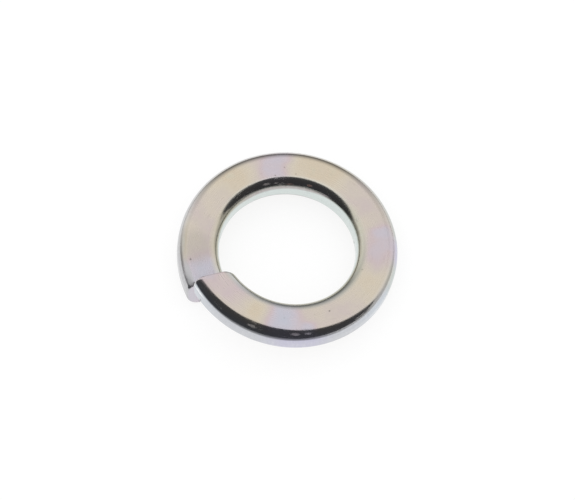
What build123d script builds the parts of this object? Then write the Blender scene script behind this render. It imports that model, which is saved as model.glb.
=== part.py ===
from build123d import *
import math
import os

# A spring lock washer: one turn of flat wire with well-rounded long edges, wound into a left-hand helix
# and cut through, so that its two ends stand apart like a step. A left-hand coil suits right-hand threads.
# Millimetres, +Z up. The bore's axis is Z, the split faces -Y and the lowest point is at zero.

# Ring, for a bolt of 16 mm
bore_diameter = 16.3
wire_width = 5.0
wire_thickness = 3.65
long_edge_radius = 1.4

# Coil: how far the high end stands above the low end
end_rise = 3.8

# Split: its gap along the mean circle, its lean from upright, its turn from the radial line, and the
# rounding that the plating bath and tumbling leave on the cut edges
split_gap = 0.8
split_lean_degrees = 14.0
split_skew_degrees = 13.0
cut_edge_radius = 0.3

# The largest share of half the wire that its long roundings take, and of a rounding that a cut edge takes
rounding_limit_share = 0.94
cut_edge_limit_share = 0.5

# How far blanks and cutters reach past the faces that they make
overrun = 1.5

bore_radius = bore_diameter / 2
outer_radius = bore_radius + wire_width
mean_radius = bore_radius + wire_width / 2
edge_radius = min(long_edge_radius, rounding_limit_share * min(wire_width, wire_thickness) / 2)

gap_degrees = math.degrees(split_gap / mean_radius)
pitch = end_rise * 360 / (360 - gap_degrees)
cut_width = wire_width + 2 * overrun
cut_height = 2 * (end_rise + wire_thickness + overrun)


def flat_half_coil():
    """Over-wide flat wire from the middle of the turn, on +X at zero, up past the cut of the high end."""
    lean_reach = wire_thickness * math.tan(math.radians(split_lean_degrees))
    skew_reach = wire_width * math.tan(math.radians(split_skew_degrees))
    turn_degrees = 180 + math.degrees((lean_reach + skew_reach) / bore_radius)
    path = Helix(pitch, pitch * turn_degrees / 360, mean_radius, lefthand=True)
    section_plane = Plane(origin=path @ 0, x_dir=(1, 0, 0), z_dir=(0, -1, 0))
    return sweep(section_plane * Rectangle(cut_width, wire_thickness), path=path, is_frenet=True)


def rounded_half_coil():
    """The half coil with a true bore, a true outer wall and its four long edges rounded."""
    tube = Cylinder(outer_radius, cut_height) - Cylinder(bore_radius, cut_height)
    coil = flat_half_coil() & tube
    return fillet([edge for edge in coil.edges() if edge.length > bore_diameter], edge_radius)


def cut_half(skew_degrees):
    """The half that climbs to the high end, cut on the slant, with the split's middle on +X."""
    waste = Box(cut_width, cut_width, cut_height, align=(Align.CENTER, Align.MAX, Align.CENTER))
    cut_place = Pos(mean_radius, split_gap / 2, end_rise / 2) * Rot(0, 0, -skew_degrees)
    return Rot(0, 0, 180) * rounded_half_coil() - cut_place * Rot(split_lean_degrees, 0, 0) * waste


# The low half is the high one turned over about the line through the split, with its skew the other way,
# so that the two cut faces are parallel
high_half = cut_half(split_skew_degrees)
low_half = Rot(180, 0, 0) * cut_half(-split_skew_degrees)
washer = high_half + low_half
cut_faces = washer.faces().filter_by(GeomType.PLANE)
washer = fillet(cut_faces.edges(), min(cut_edge_radius, cut_edge_limit_share * edge_radius))

washer = Rot(0, 0, -90) * washer
washer = Pos(0, 0, -washer.bounding_box().min.Z) * washer

os.makedirs("parts", exist_ok=True)
export_step(washer, "parts/spring_washer.step")
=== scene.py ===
import math

import bmesh
import bpy
from mathutils import Matrix, Vector, noise


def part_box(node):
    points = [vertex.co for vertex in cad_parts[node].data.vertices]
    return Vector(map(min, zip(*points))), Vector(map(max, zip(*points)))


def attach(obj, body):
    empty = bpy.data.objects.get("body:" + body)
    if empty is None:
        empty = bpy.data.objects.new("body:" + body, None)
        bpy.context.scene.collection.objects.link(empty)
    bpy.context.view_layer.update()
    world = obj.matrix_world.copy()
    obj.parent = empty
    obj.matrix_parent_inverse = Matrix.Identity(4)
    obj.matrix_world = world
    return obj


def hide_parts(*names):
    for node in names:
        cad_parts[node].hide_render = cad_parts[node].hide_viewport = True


# A spring lock washer of zinc-plated steel, lying on a white table as it comes to rest by itself.
# Lengths are in metres and angles in radians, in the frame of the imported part, unless a comment says
# otherwise.

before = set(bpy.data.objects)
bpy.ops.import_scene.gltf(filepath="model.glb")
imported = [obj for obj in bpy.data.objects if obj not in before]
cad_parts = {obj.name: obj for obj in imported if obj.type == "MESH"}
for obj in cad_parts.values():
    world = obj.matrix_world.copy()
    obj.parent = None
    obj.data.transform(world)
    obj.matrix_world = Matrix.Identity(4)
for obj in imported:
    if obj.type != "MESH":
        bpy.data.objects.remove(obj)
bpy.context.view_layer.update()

NODE = "spring_washer"
BODY = "root"
MM = 0.001

# Wire and coil. The ring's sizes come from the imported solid.
THICKNESS = 3.65 * MM
CORNER = 1.4 * MM
END_RISE = 3.8 * MM

# Split: its gap, its lean from upright, its turn from the radial line and its rounded edges
GAP = 0.8 * MM
LEAN = math.radians(14.0)
SKEW = math.radians(13.0)
CUT_ROUND = 0.3 * MM

# How far the plated surface lies inside the solid, and how far its unevenness goes below that
SKIN = 0.006 * MM
UNEVEN = 0.010 * MM
UNEVEN_LENGTH = 2.6 * MM
FINE_UNEVEN_SHARE = 0.4
FINE_UNEVEN_RATIO = 2.7

# The high end's bore side is drawn in a little by the cutting tool
EASED_ANGLE = math.radians(11.0)
EASED_DEPTH = 0.22 * MM

# Mesh steps, and how far the rings of the cut faces lie inside their outlines
ARC_STEPS = 18
FLAT_STEPS = 10
WALL_STEPS = 4
COIL_STEPS = 540
ROUND_STEPS = 6
CUT_SOLVER_STEPS = 8
CAP_INSETS = [1.25 * MM, 1.05 * MM, 0.85 * MM, 0.65 * MM, 0.47 * MM]

# Passivation film on the flat faces, as a share of its thickest: its usual thickness, and its patches
# by angle from the split in degrees, radius, reach along and across in mm, and share
FILM_FACE = 0.50
FILM_PATCHES = [
    (16, 10.3, 3.0, 1.9, 0.63),
    (38, 10.8, 1.6, 1.7, 0.26),
    (55, 10.7, 2.0, 2.2, 0.94),
    (69, 11.9, 0.9, 0.9, 0.80),
    (119, 11.0, 2.2, 1.9, 0.36),
    (148, 10.8, 2.4, 2.2, 0.69),
    (159, 11.3, 0.8, 1.4, 0.80),
    (220, 10.9, 3.3, 2.1, 0.25),
    (242, 12.0, 1.0, 1.0, 0.76),
    (253, 10.6, 2.4, 2.1, 0.79),
    (275, 10.9, 2.6, 2.0, 0.27),
    (331, 12.7, 2.6, 0.6, 0.14),
    (348, 10.6, 2.3, 2.8, 0.92),
]

# Powers that set how sharp the patches' ends and sides are
PATCH_EDGE_ALONG = 2.6
PATCH_EDGE_ACROSS = 4

# Film colours from thin to thick
FILM_COLOURS = [
    (0.00, (0.69, 0.75, 0.73)),
    (0.12, (0.66, 0.66, 0.53)),
    (0.24, (0.71, 0.61, 0.47)),
    (0.36, (0.72, 0.64, 0.52)),
    (0.50, (0.69, 0.61, 0.54)),
    (0.66, (0.67, 0.56, 0.57)),
    (0.80, (0.65, 0.59, 0.65)),
    (1.00, (0.59, 0.61, 0.70)),
]

# Tints of the walls by angle from the split in degrees. From each flat face on, the bore's side has an
# edge, a pale painted reflection at the far side, then a darker line of painted reflection and an even
# wall. A span of the line is the sines of the surface's lean between which it fades in and those between
# which it fades out.
BORE_TINT = (0.70, 0.765, 0.745)
PALE_PAINTED_REFLECTION = (0.88, 0.93, 0.91)
YELLOW = (0.66, 0.62, 0.46)
GREENISH = (0.62, 0.63, 0.50)
OLIVE_PAINTED_REFLECTION = (0.46, 0.44, 0.35)
GREY_BROWN_PAINTED_REFLECTION = (0.46, 0.43, 0.42)
# The bore edge's pale stretch at the far side is a painted reflection
BORE_EDGE_TINTS_AND_PAINTED_REFLECTION = [
    (0, BORE_TINT),
    (100, BORE_TINT),
    (140, GREENISH),
    (185, GREENISH),
    (215, PALE_PAINTED_REFLECTION),
    (280, PALE_PAINTED_REFLECTION),
    (305, YELLOW),
    (345, YELLOW),
    (360, BORE_TINT),
]
# The bore's darker line is a painted reflection
BORE_PAINTED_REFLECTION_TINTS = [
    (0, OLIVE_PAINTED_REFLECTION),
    (175, OLIVE_PAINTED_REFLECTION),
    (208, GREY_BROWN_PAINTED_REFLECTION),
    (265, GREY_BROWN_PAINTED_REFLECTION),
    (300, OLIVE_PAINTED_REFLECTION),
    (360, OLIVE_PAINTED_REFLECTION),
]
SIDE_PAINTED_REFLECTION = (0.50, 0.70, 0.79, 0.94)
FAR_PAINTED_REFLECTION = (0.24, 0.42, 0.95, 1.0)
BORE_PAINTED_REFLECTION_SPANS = [
    (0, SIDE_PAINTED_REFLECTION),
    (185, SIDE_PAINTED_REFLECTION),
    (222, FAR_PAINTED_REFLECTION),
    (275, FAR_PAINTED_REFLECTION),
    (305, SIDE_PAINTED_REFLECTION),
    (360, SIDE_PAINTED_REFLECTION),
]
NEUTRAL = (0.61, 0.61, 0.615)
GREY = (0.55, 0.55, 0.565)
COOL = (0.58, 0.595, 0.63)
LAVENDER = (0.58, 0.57, 0.69)
PALE_BLUE = (0.60, 0.64, 0.69)
PALE_GREEN = (0.58, 0.62, 0.60)
GREY_GREEN = (0.53, 0.55, 0.52)
OUTER_TINTS = [
    (0, PALE_BLUE),
    (20, COOL),
    (42, COOL),
    (56, LAVENDER),
    (72, LAVENDER),
    (84, COOL),
    (96, COOL),
    (110, PALE_BLUE),
    (120, PALE_BLUE),
    (128, PALE_GREEN),
    (136, PALE_GREEN),
    (142, LAVENDER),
    (151, LAVENDER),
    (158, GREY_GREEN),
    (200, GREY_GREEN),
    (230, NEUTRAL),
    (315, NEUTRAL),
    (335, GREY),
    (360, GREY),
]

# How fast the walls' tints take over on the rounded edges
WALL_GROWTH = 1.4
BORE_GROWTH = 1.3

# How far a normal may lean, as its sine, before a flat face's satin ends
FACE_LEAN = 0.16

# Marks by angle from the split in degrees, place around the wire from the top of the outer wall, and
# reach along and around, in mm: dark specks, dull rubs, stains of three colours, and a painted highlight
# below the high end's edge
SPECKS = [
    (249, 4.45, 0.14, 0.13),
    (234, 4.30, 0.14, 0.12),
    (242, 3.40, 0.12, 0.11),
    (86, 3.60, 0.18, 0.13),
    (339, 2.15, 0.15, 0.13),
]
RUBS = [
    (38, 1.30, 0.66, 0.21),
    (62, 1.40, 0.64, 0.23),
    (69, 1.45, 0.50, 0.17),
    (257, 5.30, 0.76, 0.18),
    (249, 5.40, 0.40, 0.15),
]
GREY_STAINS = [(347, 1.48, 2.0, 0.62), (351, 1.42, 0.8, 0.62)]
TAN_STAINS = [(331, 2.90, 3.0, 2.8), (329, 1.40, 2.8, 1.0)]
BROWN_STAINS = [(222, 5.40, 0.6, 0.16), (238, 5.62, 0.8, 0.10)]
# A painted highlight below the high end's edge
PAINTED_HIGHLIGHTS = [(3.5, 0.42, 1.2, 0.15)]

# Where a mark is full, as a share of its reach, and how far its edge wanders, in mm
MARK_CORE = 0.35
MARK_RAGGED = 0.12

# Texture of the plating: soft clouds, fine grain and dirt in waves per metre, and the marks' ragged edges
# and traces of drawing, rubbing and rolling along and around the coil in waves per mm
CLOUD_SCALE = 300.0
GRAIN_SCALE = 5200.0
DIRT_SCALE = 700.0
RAGGED_SCALE = 5.0
DRAWN_SCALE = (0.22, 6.0, 1.0)
RUBBED_SCALE = (0.45, 2.6, 1.0)
ROLLED_SCALE = (3.2, 0.25, 1.0)

# Detail and roughness of its noises, their middle, and the levels between which they take effect
PLAIN_NOISE = (2.0, 0.5)
CLOUD_NOISE = (3.0, 0.5)
DRAWN_NOISE = (3.0, 0.6)
RUBBED_NOISE = (4.0, 0.65)
NOISE_MIDDLE = (0.5, 0.5, 0.5)
PATCHY_RANGE = (0.28, 0.72)
GRAIN_RANGE = (0.35, 0.75)
DRAWN_RANGE = (0.45, 0.75)
ROLLED_RANGE = (0.45, 0.75)
RUBBED_RANGE = (0.58, 0.72)
CLOUD_ROUGH_RANGE = (0.3, 0.7)
DRAWN_ROUGH_RANGE = (0.4, 0.8)

# Dirt: the share of its cells that hold a speck, and where a speck ends and is full, in cells
DIRT_CELLS = 0.10
DIRT_RADIUS = 0.16
DIRT_CORE = 0.072

# How far the clouds shift the film either way
FILM_PATCHY = 0.08

# Tints of the texture, the marks and the painted highlight, and their shares
DRAWN_TINT, DRAWN_SHARE = (0.86, 0.84, 0.80), 0.07
GRAIN_TINT, GRAIN_SHARE = (0.40, 0.38, 0.36), 0.08
ROLLED_TINT, ROLLED_SHARE = (0.80, 0.81, 0.83), 0.18
DIRT_TINT, DIRT_SHARE = (0.13, 0.11, 0.10), 0.6
CUT_TINT, CUT_SHARE = (0.68, 0.645, 0.715), 0.75
GREY_TINT, GREY_SHARE = (0.56, 0.56, 0.57), 0.9
TAN_TINT, TAN_SHARE = (0.42, 0.39, 0.34), 0.34
BROWN_TINT, BROWN_SHARE = (0.52, 0.30, 0.25), 0.8
# Near white of the painted highlight below the high end's edge
PAINTED_HIGHLIGHT_TINT, PAINTED_HIGHLIGHT_SHARE = (0.96, 0.97, 0.97), 0.9

# Roughness of the plating, least and most, and what the texture, the marks and the faces add to it
ROUGHNESS = (0.12, 0.19)
DRAWN_ROUGHNESS = 0.06
DIRT_ROUGHNESS = 0.25
RUBBED_ROUGHNESS = 0.22
CUT_ROUGHNESS = 0.12
FACE_ROUGHNESS = 0.12

# How far the milky flat faces and the dull marks still shine like bare metal
FACE_METAL = 0.45
RUB_METAL = 0.80
RUBBED_METAL = 0.90
GREY_METAL = 0.30
BROWN_METAL = 0.80

# Relief of the texture
CLOUD_RELIEF = 0.004 * MM
DRAWN_RELIEF = 0.0002 * MM
DIRT_RELIEF = 0.003 * MM

# Table: its half size, its paint, its glow, how white the picture shows it, how bright metal shows it
# outside its lit pool and in it, and where the pool falls off to the camera's side and away from it
TABLE_REACH = 0.8
TABLE_PAINT = (0.25, 0.25, 0.25, 1.0)
TABLE_GLOW = (1.0, 1.0, 1.0, 1.0)
TABLE_WHITE = 0.80
POOL_LEVELS = (0.10, 0.78)
POOL_NEAR = (19 * MM, 36 * MM)
POOL_FAR = (24 * MM, 44 * MM)

# The dark side of the studio is a wedge between two planes through the washer: how far they lean below
# the horizon on the camera's side and past straight up, its left and right ends, the softness of its
# edges, and its slant, lower at the left
DARK_BELOW = math.radians(4.0)
DARK_PAST = math.radians(3.0)
DARK_ENDS = (math.radians(75.0), math.radians(77.0))
DARK_SOFT = math.radians(2.5)
DARK_SLANT = math.radians(10.0)

# Levels of the studio: its white, the dark side, low at the back, far to the left, far to the right, and
# the backdrop that the picture shows
WHITE = (0.93, 0.93, 0.93)
DARK = (0.053, 0.056, 0.061)
LOW_BACK = (0.07, 0.07, 0.07)
FAR_LEFT = (0.40, 0.40, 0.40)
FAR_RIGHT = (0.60, 0.60, 0.60)
BACKDROP = (1.0, 1.0, 1.0)

# Where those levels begin and end, as sines of the angles from the horizon or from the camera's line
LOW_BACK_HEIGHT = (0.85, 0.0)
LOW_BACK_WIDTH = (0.72, 0.28)
FAR_SIDE = (0.80, 0.97)

# Camera as in the photograph
CAMERA_AZIMUTH = math.radians(47.385)
CAMERA_ELEVATION = math.radians(62.83)
CAMERA_DISTANCE = 336.4 * MM
CAMERA_LENS = 176.0
CAMERA_SENSOR = 36.0
CAMERA_CLIP = (0.01, 10.0)
AIM = Vector((0, 0, 3.602 * MM))

# A face of the hull can be the one on the table if its normal is at least this steep
STEEP = 0.9

# Numbers of the colour sockets of a Mix node, which share their names with those for plain numbers
MIX_SHARE = 0
MIX_BASE = 6
MIX_OVER = 7
MIX_RESULT = 2


def ring_sizes():
    """Bore radius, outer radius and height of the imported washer."""
    reaches = [math.hypot(v.co.x, v.co.y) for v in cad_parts[NODE].data.vertices]
    low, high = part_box(NODE)
    return min(reaches), max(reaches), high.z - low.z


BORE, OUTER, HEIGHT = ring_sizes()
MEAN = (BORE + OUTER) / 2
MIDDLE = HEIGHT / 2
PITCH = END_RISE * math.tau / (math.tau - GAP / MEAN)
HALF_WIDTH = (OUTER - BORE) / 2 - SKIN
HALF_HEIGHT = THICKNESS / 2 / math.cos(math.atan(PITCH / math.tau / MEAN)) - SKIN
CUT_NORMAL = Vector((
    math.cos(SKEW) * math.cos(LEAN),
    -math.sin(SKEW) * math.cos(LEAN),
    math.sin(LEAN),
))


def coil_point(angle, reach, lift):
    """A point by its angle from the split, counter-clockwise, its radius and its height in the wire."""
    height = MIDDLE + PITCH * (math.pi - angle) / math.tau + lift
    return Vector((reach * math.sin(angle), -reach * math.cos(angle), height))


def cut_angle(side, reach, lift, depth):
    """The angle where a line of the coil is at a depth behind the high end's cut (1) or the low's (-1)."""
    start = Vector((side * GAP / 2, -MEAN, MIDDLE + side * END_RISE / 2))
    angle = 0.0 if side > 0 else math.tau
    for _ in range(CUT_SOLVER_STEPS):
        miss = (coil_point(angle, reach, lift) - start).dot(CUT_NORMAL) - side * (depth + SKIN)
        along = Vector((reach * math.cos(angle), reach * math.sin(angle), -PITCH / math.tau))
        angle -= miss / along.dot(CUT_NORMAL)
    return angle


def section_loop():
    """The wire's outline as (across, up, normal across, normal up), from the outer wall over the top."""
    far, tall = HALF_WIDTH - CORNER, HALF_HEIGHT - CORNER
    corners = [(far, tall), (-far, tall), (-far, -tall), (far, -tall)]
    loop = []
    for number, (across, up) in enumerate(corners):
        for step in range(ARC_STEPS + 1):
            turn = math.pi / 2 * (number + step / ARC_STEPS)
            side, rise = math.cos(turn), math.sin(turn)
            loop.append((across + CORNER * side, up + CORNER * rise, side, rise))
        ahead_across, ahead_up = corners[(number + 1) % len(corners)]
        start_across, start_up, side, rise = loop[-1]
        steps = WALL_STEPS if number % 2 else FLAT_STEPS
        for step in range(1, steps):
            share = step / steps
            place = (start_across + (ahead_across - across) * share, start_up + (ahead_up - up) * share)
            loop.append((*place, side, rise))
    return loop


def mesh_rows():
    """Rows of the mesh from the high end to the low, as (side, share of the coil, inset, depth)."""
    rounding = []
    for step in range(ROUND_STEPS):
        turn = math.pi / 2 * step / ROUND_STEPS
        rounding.append((CUT_ROUND * (1 - math.sin(turn)), CUT_ROUND * (1 - math.cos(turn))))
    end = [(inset, 0.0) for inset in CAP_INSETS] + rounding
    high = [(1, 0.0, inset, depth) for inset, depth in end]
    low = [(-1, 1.0, inset, depth) for inset, depth in reversed(end)]
    coil = [(0, step / COIL_STEPS, 0.0, 0.0) for step in range(COIL_STEPS + 1)]
    return high + coil + low


def eased(angle, normal_across):
    """How far the bore side of the high end is drawn in."""
    if angle > EASED_ANGLE or normal_across > 0:
        return 0.0
    share = 1 - max(angle, 0.0) / EASED_ANGLE
    return EASED_DEPTH * share * share * -normal_across


def uneven(point):
    """How far the surface lies below its ideal at a point, in a drawn and tumbled wire."""
    place = point / UNEVEN_LENGTH
    wave = noise.noise(place) + FINE_UNEVEN_SHARE * noise.noise(place * FINE_UNEVEN_RATIO)
    return UNEVEN * min(max(0.5 + 0.5 * wave, 0.0), 1.0)


def surface_point(angle, line, inset):
    """A point of the plated surface by its angle, its line of the outline and its inset from it."""
    across, up, normal_across, normal_up = line
    ideal = coil_point(angle, MEAN + across, up)
    below = inset + uneven(ideal) + eased(angle, normal_across)
    return coil_point(angle, MEAN + across - normal_across * below, up - normal_up * below)


def smooth(value, start, stop):
    """A smooth step from 0 at start to 1 at stop."""
    share = min(max((value - start) / (stop - start), 0.0), 1.0)
    return share * share * (3 - 2 * share)


def blend(first, second, share):
    return tuple(a + (b - a) * share for a, b in zip(first, second))


def at_angle(angle, stops):
    """The tint or other numbers at an angle between stops in degrees."""
    turn = math.degrees(angle) % 360
    for (start, first), (stop, second) in zip(stops, stops[1:]):
        if turn <= stop:
            return blend(first, second, (turn - start) / (stop - start))
    return stops[-1][1]


def film_share(angle, line):
    """Film thickness as a share. The underside has the same patches, mirrored."""
    reach = MEAN + line[0]
    if line[3] < 0:
        angle, reach = math.tau - angle, 2 * MEAN - reach
    film = FILM_FACE
    for turn, radius, along, across, share in FILM_PATCHES:
        apart = (angle - math.radians(turn) + math.pi) % math.tau - math.pi
        length, width = apart * MEAN / (along * MM), (reach - radius * MM) / (across * MM)
        film += (share - film) * math.exp(-abs(length) ** PATCH_EDGE_ALONG - width ** PATCH_EDGE_ACROSS)
    return film


def bore_tint_and_painted_reflection(angle, lean):
    """The tint of the bore's side: its upper edge, a pale painted reflection at the far side, then a
    darker line of painted reflection, then the wall.
    """
    edge, dark = at_angle(angle, BORE_EDGE_TINTS_AND_PAINTED_REFLECTION), at_angle(angle, BORE_PAINTED_REFLECTION_TINTS)
    span = at_angle(angle, BORE_PAINTED_REFLECTION_SPANS)
    upper = blend(edge, dark, smooth(lean, *span[:2]))
    return blend(upper, BORE_TINT, smooth(lean, *span[2:]))


def wall_tint_and_painted_reflection(angle, line):
    """The tint of the walls at an angle, with the bore side's painted reflections, and its share, which
    fades out over the rounded edges.
    """
    lean = abs(line[2])
    if line[2] < 0:
        return (*bore_tint_and_painted_reflection(angle, lean), min(lean * BORE_GROWTH, 1.0))
    return (*at_angle(angle, OUTER_TINTS), min(lean * lean * WALL_GROWTH, 1.0))


def row_angles(loop, row, starts, stops):
    """The angles of one row's points, line by line."""
    side, share, inset, depth = row
    if not side:
        return [start + (stop - start) * share for start, stop in zip(starts, stops)]
    angles = []
    for across, up, normal_across, normal_up in loop:
        reach, lift = MEAN + across - normal_across * inset, up - normal_up * inset
        angles.append(cut_angle(side, reach, lift, depth))
    return angles


def washer_faces(rows, count):
    """Quads between the rows, and one face in the middle of each cut."""
    faces = []
    for row in range(rows - 1):
        here, ahead = row * count, (row + 1) * count
        for number in range(count):
            beside = (number + 1) % count
            faces.append((here + beside, here + number, ahead + number, ahead + beside))
    last = (rows - 1) * count
    return faces + [tuple(range(count)), tuple(reversed(range(last, last + count)))]


def add_coil_map(mesh, loop, along):
    """A map of the surface in mm along the coil and around the wire."""
    count = len(loop)
    around = [0.0]
    for line, ahead in zip(loop, loop[1:] + loop[:1]):
        around.append(around[-1] + math.hypot(ahead[0] - line[0], ahead[1] - line[1]))
    layer = mesh.uv_layers.new(name="Coil")
    for face in mesh.polygons:
        numbers = [vertex % count for vertex in face.vertices]
        wraps = 0 in numbers and count - 1 in numbers
        for corner, vertex, number in zip(face.loop_indices, face.vertices, numbers):
            place = around[count] if wraps and number == 0 else around[number]
            layer.uv[corner].vector = (along[vertex] / MM, place / MM)


def washer_mesh():
    """The plated washer: a dense mesh with its film, wall tints with painted reflections on the bore's
    side, cut and flat faces, and a map.
    """
    loop = section_loop()
    starts = [cut_angle(1, MEAN + line[0], line[1], CUT_ROUND) for line in loop]
    stops = [cut_angle(-1, MEAN + line[0], line[1], CUT_ROUND) for line in loop]
    points, along, walls = [], [], []
    shares = {"film": [], "cut": [], "face": []}
    for row in mesh_rows():
        side, _, inset, _ = row
        for line, angle in zip(loop, row_angles(loop, row, starts, stops)):
            points.append(surface_point(angle, line, inset))
            along.append(angle * MEAN - side * inset)
            walls.extend(wall_tint_and_painted_reflection(angle, line))
            shares["film"].append(film_share(angle, line))
            shares["cut"].append(min(inset / CUT_ROUND, 1.0))
            shares["face"].append(max(1.0 - abs(line[2]) / FACE_LEAN, 0.0))
    mesh = bpy.data.meshes.new("plated_washer")
    mesh.from_pydata(points, [], washer_faces(len(points) // len(loop), len(loop)))
    mesh.shade_smooth()
    for name, values in shares.items():
        mesh.attributes.new(name, "FLOAT", "POINT").data.foreach_set("value", values)
    # The wall colours hold the bore side's painted reflections
    mesh.attributes.new("wall", "FLOAT_COLOR", "POINT").data.foreach_set("color", walls)
    add_coil_map(mesh, loop, along)
    mesh.update()
    return mesh


def put(tree, kind, inputs=None, **settings):
    """Adds a shader node with its settings and inputs, which are values or other nodes' outputs."""
    made = tree.nodes.new("ShaderNode" + kind)
    for name, value in settings.items():
        setattr(made, name, value)
    for key, value in (inputs or {}).items():
        if isinstance(value, bpy.types.NodeSocket):
            tree.links.new(value, made.inputs[key])
        else:
            made.inputs[key].default_value = value
    return made


def math_node(tree, operation, first, second=0.0):
    return put(tree, "Math", {0: first, 1: second}, operation=operation).outputs[0]


def multiply(tree, first, second):
    return math_node(tree, "MULTIPLY", first, second)


def even_range(tree, value, low, high, start=0.0, stop=1.0, kind="LINEAR"):
    """Runs evenly from start at the low value to stop at the high one."""
    inputs = {"Value": value, "From Min": low, "From Max": high, "To Min": start, "To Max": stop}
    return put(tree, "MapRange", inputs, interpolation_type=kind).outputs[0]


def smooth_range(tree, value, low, high, start=0.0, stop=1.0):
    """The same with soft ends."""
    return even_range(tree, value, low, high, start, stop, "SMOOTHSTEP")


def tint(tree, share, base, colour):
    """Mixes two colours by a share. Each of them is a value or a node's output."""
    inputs = {MIX_SHARE: share}
    for key, value in ((MIX_BASE, base), (MIX_OVER, colour)):
        linked = isinstance(value, bpy.types.NodeSocket)
        inputs[key] = value if linked else (*value, 1.0)
    return put(tree, "Mix", inputs, data_type="RGBA").outputs[MIX_RESULT]


def ramp(tree, share, stops):
    """Colours by a share. The stops that a new ramp has are used before others are added."""
    made = put(tree, "ValToRGB", {"Fac": share})
    elements = made.color_ramp.elements
    ready = len(elements)
    for number, (place, colour) in enumerate(stops):
        stop = elements[number] if number < ready else elements.new(place)
        stop.position = place
        stop.color = (*colour, 1.0)
    return made.outputs["Color"]


def noise_node(tree, place, scale, detail, roughness):
    inputs = {"Vector": place, "Scale": scale, "Detail": detail, "Roughness": roughness}
    return put(tree, "TexNoise", inputs)


def stretched_noise(tree, coil, scale, detail, roughness):
    """Noise on the coil's map with different scales along and around."""
    place = put(tree, "Mapping", {"Vector": coil, "Scale": scale}).outputs["Vector"]
    return noise_node(tree, place, 1.0, detail, roughness).outputs["Fac"]


def attribute(tree, name):
    return put(tree, "Attribute", attribute_name=name)


def vector_node(tree, operation, first, second=(0.0, 0.0, 0.0)):
    return put(tree, "VectorMath", {0: first, 1: second}, operation=operation)


def along_axis(tree, vector, axis):
    return vector_node(tree, "DOT_PRODUCT", vector, axis).outputs["Value"]


def dirt_specks(tree, place):
    """A mask of sparse round specks all over."""
    cells = put(tree, "TexVoronoi", {"Vector": place, "Scale": DIRT_SCALE, "Randomness": 1.0})
    random = put(tree, "SeparateColor", {0: cells.outputs["Color"]}).outputs[0]
    spot = smooth_range(tree, cells.outputs["Distance"], DIRT_RADIUS, DIRT_CORE)
    return multiply(tree, math_node(tree, "LESS_THAN", random, DIRT_CELLS), spot)


def marks(tree, coil, places):
    """A mask of ragged marks at given places of the coil's map."""
    mask = 0.0
    for angle, around, along, across in places:
        centre = (math.radians(angle) * MEAN / MM, around, 0.0)
        apart = vector_node(tree, "SUBTRACT", coil, centre).outputs[0]
        sized = vector_node(tree, "MULTIPLY", apart, (1 / along, 1 / across, 0.0)).outputs[0]
        spot = smooth_range(tree, vector_node(tree, "LENGTH", sized).outputs["Value"], 1.0, MARK_CORE)
        mask = math_node(tree, "MAXIMUM", spot, mask)
    return mask


def ragged_map(tree, coil):
    """The coil's map, shifted a little by noise, so that marks on it have uneven edges."""
    waves = noise_node(tree, coil, RAGGED_SCALE, *PLAIN_NOISE).outputs["Color"]
    shift = vector_node(tree, "SUBTRACT", waves, NOISE_MIDDLE).outputs[0]
    scaled = put(tree, "VectorMath", {0: shift, "Scale": 2 * MARK_RAGGED}, operation="SCALE").outputs[0]
    return vector_node(tree, "ADD", coil, scaled).outputs[0]


def surface_masks(tree):
    """The plating's noises, attributes and marks by name."""
    place = put(tree, "TexCoord").outputs["Object"]
    coil = put(tree, "UVMap", uv_map="Coil").outputs["UV"]
    ragged = ragged_map(tree, coil)
    rubs = stretched_noise(tree, coil, RUBBED_SCALE, *RUBBED_NOISE)
    wall = attribute(tree, "wall")
    specks = math_node(tree, "MAXIMUM", dirt_specks(tree, place), marks(tree, ragged, SPECKS))
    return {
        "cloud": noise_node(tree, place, CLOUD_SCALE, *CLOUD_NOISE).outputs["Fac"],
        "grain": noise_node(tree, place, GRAIN_SCALE, *PLAIN_NOISE).outputs["Fac"],
        "drawn": stretched_noise(tree, coil, DRAWN_SCALE, *DRAWN_NOISE),
        "rolled": stretched_noise(tree, coil, ROLLED_SCALE, *PLAIN_NOISE),
        "rubbed": smooth_range(tree, rubs, *RUBBED_RANGE),
        "film": attribute(tree, "film").outputs["Fac"],
        "cut": attribute(tree, "cut").outputs["Fac"],
        "face": attribute(tree, "face").outputs["Fac"],
        "wall": wall.outputs["Alpha"],
        "wall_tint_and_painted_reflection": wall.outputs["Color"],
        "dirt": specks,
        "rubs": marks(tree, ragged, RUBS),
        "grey": marks(tree, ragged, GREY_STAINS),
        "tan": marks(tree, ragged, TAN_STAINS),
        "brown": marks(tree, ragged, BROWN_STAINS),
        # The painted highlight below the high end's edge
        "painted_highlight": marks(tree, ragged, PAINTED_HIGHLIGHTS),
    }


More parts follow.
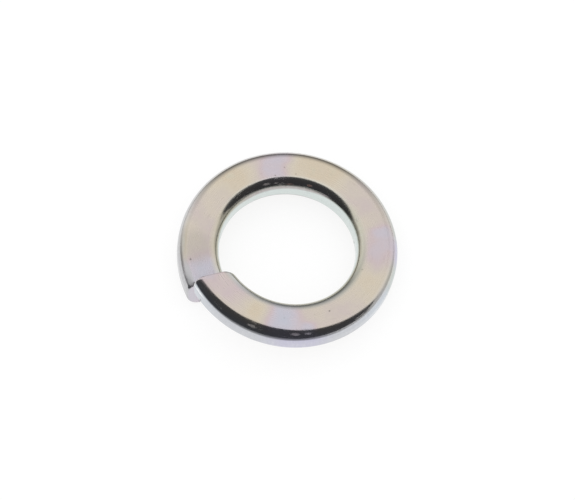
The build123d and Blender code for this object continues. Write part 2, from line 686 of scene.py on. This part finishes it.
def plating_colour(tree, mask):
    """Film colours on the faces, tints on the walls with painted reflections on the bore's side, and over
    them the texture, the marks and a painted highlight.
    """
    patchy = smooth_range(tree, mask["cloud"], *PATCHY_RANGE, -FILM_PATCHY, FILM_PATCHY)
    film = ramp(tree, math_node(tree, "ADD", mask["film"], patchy), FILM_COLOURS)
    # The walls' tints carry the bore side's painted reflections
    colour = tint(tree, mask["wall"], film, mask["wall_tint_and_painted_reflection"])
    rolled = smooth_range(tree, mask["rolled"], *ROLLED_RANGE, 0.0, ROLLED_SHARE)
    drawn = smooth_range(tree, mask["drawn"], *DRAWN_RANGE, 0.0, DRAWN_SHARE)
    grain = smooth_range(tree, mask["grain"], *GRAIN_RANGE, 0.0, GRAIN_SHARE)
    colour = tint(tree, multiply(tree, mask["wall"], rolled), colour, ROLLED_TINT)
    colour = tint(tree, drawn, colour, DRAWN_TINT)
    colour = tint(tree, grain, colour, GRAIN_TINT)
    layers = [
        ("cut", CUT_TINT, CUT_SHARE),
        ("grey", GREY_TINT, GREY_SHARE),
        ("tan", TAN_TINT, TAN_SHARE),
        ("brown", BROWN_TINT, BROWN_SHARE),
        # The painted highlight below the high end's edge
        ("painted_highlight", PAINTED_HIGHLIGHT_TINT, PAINTED_HIGHLIGHT_SHARE),
        ("dirt", DIRT_TINT, DIRT_SHARE),
    ]
    for name, layer_tint, share in layers:
        colour = tint(tree, multiply(tree, mask[name], share), colour, layer_tint)
    return colour


def plating_roughness(tree, mask):
    """Roughness, which grows with drawing marks, dirt, rubs, cut faces and flat faces."""
    roughness = smooth_range(tree, mask["cloud"], *CLOUD_ROUGH_RANGE, *ROUGHNESS)
    drawn = smooth_range(tree, mask["drawn"], *DRAWN_ROUGH_RANGE, 0.0, DRAWN_ROUGHNESS)
    roughness = math_node(tree, "ADD", roughness, drawn)
    layers = [
        ("dirt", DIRT_ROUGHNESS),
        ("rubbed", RUBBED_ROUGHNESS),
        ("rubs", RUBBED_ROUGHNESS),
        ("cut", CUT_ROUGHNESS),
        ("face", FACE_ROUGHNESS),
    ]
    for name, share in layers:
        roughness = math_node(tree, "ADD", roughness, multiply(tree, mask[name], share))
    return roughness


def plating_metal(tree, mask):
    """How far the surface shines like bare metal."""
    metal = even_range(tree, mask["face"], 0.0, 1.0, 1.0, FACE_METAL)
    dull = [("rubs", RUB_METAL), ("rubbed", RUBBED_METAL), ("grey", GREY_METAL), ("brown", BROWN_METAL)]
    for name, share in dull:
        metal = multiply(tree, metal, even_range(tree, mask[name], 0.0, 1.0, 1.0, share))
    return metal


def bump(tree, height, depth, **below):
    """A normal bent by a height of some depth, over that of another bump if there is one."""
    return put(tree, "Bump", {"Height": height, "Strength": 1.0, "Distance": depth, **below}).outputs[0]


def plating_relief(tree, mask):
    """Soft waves, fine drawing lines and shallow pits."""
    waves = bump(tree, mask["cloud"], CLOUD_RELIEF)
    lines = bump(tree, mask["drawn"], DRAWN_RELIEF, Normal=waves)
    pits = math_node(tree, "SUBTRACT", 1.0, mask["dirt"])
    return bump(tree, pits, DIRT_RELIEF, Normal=lines)


def cleared_tree(owner):
    owner.use_nodes = True
    owner.node_tree.nodes.clear()
    return owner.node_tree


def plated_steel():
    """Bright zinc plating with a thin passivation film in pale yellow, pink, lavender and blue."""
    material = bpy.data.materials.new("zinc_plating")
    tree = cleared_tree(material)
    mask = surface_masks(tree)
    shader = put(tree, "BsdfPrincipled", {
        "Base Color": plating_colour(tree, mask), "Roughness": plating_roughness(tree, mask),
        "Metallic": plating_metal(tree, mask), "Normal": plating_relief(tree, mask)})
    put(tree, "OutputMaterial", {"Surface": shader.outputs[0]})
    return material


def hull_faces(points):
    """Faces of the convex hull of some points, as three corners each."""
    shape = bmesh.new()
    for point in points:
        shape.verts.new(point)
    bmesh.ops.convex_hull(shape, input=shape.verts)
    faces = [[corner.co.copy() for corner in face.verts] for face in shape.faces]
    shape.free()
    return faces


def lies_over(point, corners, normal):
    """Whether a point lies over a face, along the face's normal."""
    turns = []
    for corner, ahead in zip(corners, corners[1:] + corners[:1]):
        turns.append((ahead - corner).cross(point - corner).dot(normal))
    return min(turns) >= 0 or max(turns) <= 0


def resting_plane():
    """A point and the upward normal of the table on which the washer lies still."""
    points = [v.co.copy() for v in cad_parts[NODE].data.vertices]
    centre = Vector((0, 0, MIDDLE))
    for corners in hull_faces(points):
        normal = (corners[1] - corners[0]).cross(corners[2] - corners[0]).normalized()
        if normal.z < 0:
            normal = -normal
        below = (corners[0] - centre).dot(normal) <= 0
        if normal.z >= STEEP and below and lies_over(centre, corners, normal):
            return corners[0], normal
    return Vector((0, 0, 0)), Vector((0, 0, 1))


def camera_back():
    """The direction from the washer to the camera."""
    level = math.cos(CAMERA_ELEVATION)
    side, front = math.sin(CAMERA_AZIMUTH) * level, math.cos(CAMERA_AZIMUTH) * level
    return Vector((side, -front, math.sin(CAMERA_ELEVATION)))


def studio_axes(up):
    """Level directions towards the camera and to its right, with up."""
    back = camera_back()
    front = (back - up * back.dot(up)).normalized()
    return front, up.cross(front), up


def add_camera(up):
    """A camera that stands level with the table and looks down at the washer."""
    back = camera_back()
    right = up.cross(back).normalized()
    data = bpy.data.cameras.new("camera")
    data.lens = CAMERA_LENS
    data.sensor_width = CAMERA_SENSOR
    data.clip_start, data.clip_end = CAMERA_CLIP
    camera = bpy.data.objects.new("camera", data)
    turn = Matrix((right, back.cross(right), back)).transposed().to_4x4()
    camera.matrix_world = Matrix.Translation(AIM + back * CAMERA_DISTANCE) @ turn
    bpy.context.scene.collection.objects.link(camera)
    bpy.context.scene.camera = camera


def add_floor(point, up):
    """A white table, which is seen from above only."""
    front, side, _ = studio_axes(up)
    signs = ((1, 1), (-1, 1), (-1, -1), (1, -1))
    corners = [point + (front * ahead + side * across) * TABLE_REACH for ahead, across in signs]
    mesh = bpy.data.meshes.new("table")
    mesh.from_pydata(corners, [], [(0, 1, 2, 3)])
    if mesh.polygons[0].normal.dot(up) < 0:
        mesh.flip_normals()
    mesh.materials.append(table_material(front))
    floor = bpy.data.objects.new("table", mesh)
    bpy.context.scene.collection.objects.link(floor)


def lit_pool(tree, front):
    """How bright metal shows the table: lit round the washer, and dim further off."""
    place = put(tree, "TexCoord").outputs["Object"]
    ahead = along_axis(tree, place, front)
    near = smooth_range(tree, ahead, POOL_NEAR[1], POOL_NEAR[0])
    far = smooth_range(tree, ahead, -POOL_FAR[1], -POOL_FAR[0])
    return smooth_range(tree, multiply(tree, near, far), 0.0, 1.0, *POOL_LEVELS)


def table_material(front):
    """White paint that keeps a soft shadow. The picture shows it white, and metal its lit pool."""
    material = bpy.data.materials.new("white_table")
    tree = cleared_tree(material)
    paint = put(tree, "BsdfDiffuse", {"Color": TABLE_PAINT})
    path = put(tree, "LightPath").outputs
    shown = math_node(tree, "MAXIMUM", path["Is Glossy Ray"], path["Is Transmission Ray"])
    level = math_node(tree, "ADD", multiply(tree, shown, lit_pool(tree, front)),
                      multiply(tree, path["Is Camera Ray"], TABLE_WHITE))
    glow = put(tree, "Emission", {"Color": TABLE_GLOW, "Strength": level})
    both = put(tree, "AddShader", {0: paint.outputs[0], 1: glow.outputs[0]})
    clear = put(tree, "BsdfTransparent")
    below = put(tree, "NewGeometry").outputs["Backfacing"]
    surface = put(tree, "MixShader", {0: below, 1: both.outputs[0], 2: clear.outputs[0]})
    put(tree, "OutputMaterial", {"Surface": surface.outputs[0]})
    return material


def dark_side(tree, ray, axes):
    """1 in the dark part of the studio on the camera's side, which slants down to the left."""
    front, side, up = axes
    tilted_up = up * math.cos(DARK_SLANT) - side * math.sin(DARK_SLANT)
    tilted_side = side * math.cos(DARK_SLANT) + up * math.sin(DARK_SLANT)
    lower = along_axis(tree, ray, tilted_up * math.cos(DARK_BELOW) + front * math.sin(DARK_BELOW))
    upper = along_axis(tree, ray, front * math.cos(DARK_PAST) + tilted_up * math.sin(DARK_PAST))
    soft = math.sin(DARK_SOFT)
    over_lower = smooth_range(tree, lower, -soft, soft)
    under_upper = smooth_range(tree, upper, -soft, soft)
    wedge = multiply(tree, over_lower, under_upper)
    sideways = along_axis(tree, ray, tilted_side)
    for end, sign in zip(DARK_ENDS, (-1, 1)):
        edges = [sign * math.sin(end + spread) for spread in (DARK_SOFT, -DARK_SOFT)]
        wedge = multiply(tree, wedge, smooth_range(tree, sideways, *edges))
    return wedge


def low_back(tree, forward, sideways, upward):
    """1 at the horizon behind the washer, falling off upwards and to the sides."""
    low = even_range(tree, upward, *LOW_BACK_HEIGHT)
    inner = smooth_range(tree, math_node(tree, "ABSOLUTE", sideways), *LOW_BACK_WIDTH)
    return multiply(tree, multiply(tree, low, inner), math_node(tree, "LESS_THAN", forward, 0.0))


def add_world(up):
    """A white studio that metal shows dark on the camera's side and grey low behind and at the sides."""
    axes = studio_axes(up)
    world = bpy.data.worlds.new("studio")
    bpy.context.scene.world = world
    tree = cleared_tree(world)
    ray = put(tree, "TexCoord").outputs["Generated"]
    forward, sideways, upward = (along_axis(tree, ray, axis) for axis in axes)
    path = put(tree, "LightPath").outputs
    left_edges = [-edge for edge in FAR_SIDE]
    sky = tint(tree, low_back(tree, forward, sideways, upward), WHITE, LOW_BACK)
    sky = tint(tree, smooth_range(tree, sideways, *left_edges), sky, FAR_LEFT)
    sky = tint(tree, smooth_range(tree, sideways, *FAR_SIDE), sky, FAR_RIGHT)
    sky = tint(tree, dark_side(tree, ray, axes), sky, DARK)
    sky = tint(tree, path["Is Diffuse Ray"], sky, WHITE)
    sky = tint(tree, path["Is Camera Ray"], sky, BACKDROP)
    shade = put(tree, "Background", {"Color": sky, "Strength": 1.0})
    put(tree, "OutputWorld", {"Surface": shade.outputs[0]})


washer = bpy.data.objects.new("plated_washer", washer_mesh())
bpy.context.scene.collection.objects.link(washer)
washer.data.materials.append(plated_steel())
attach(washer, BODY)
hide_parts(NODE)

table_point, table_up = resting_plane()
add_floor(table_point, table_up)
add_world(table_up)
add_camera(table_up)
bpy.context.scene.view_settings.view_transform = "Standard"
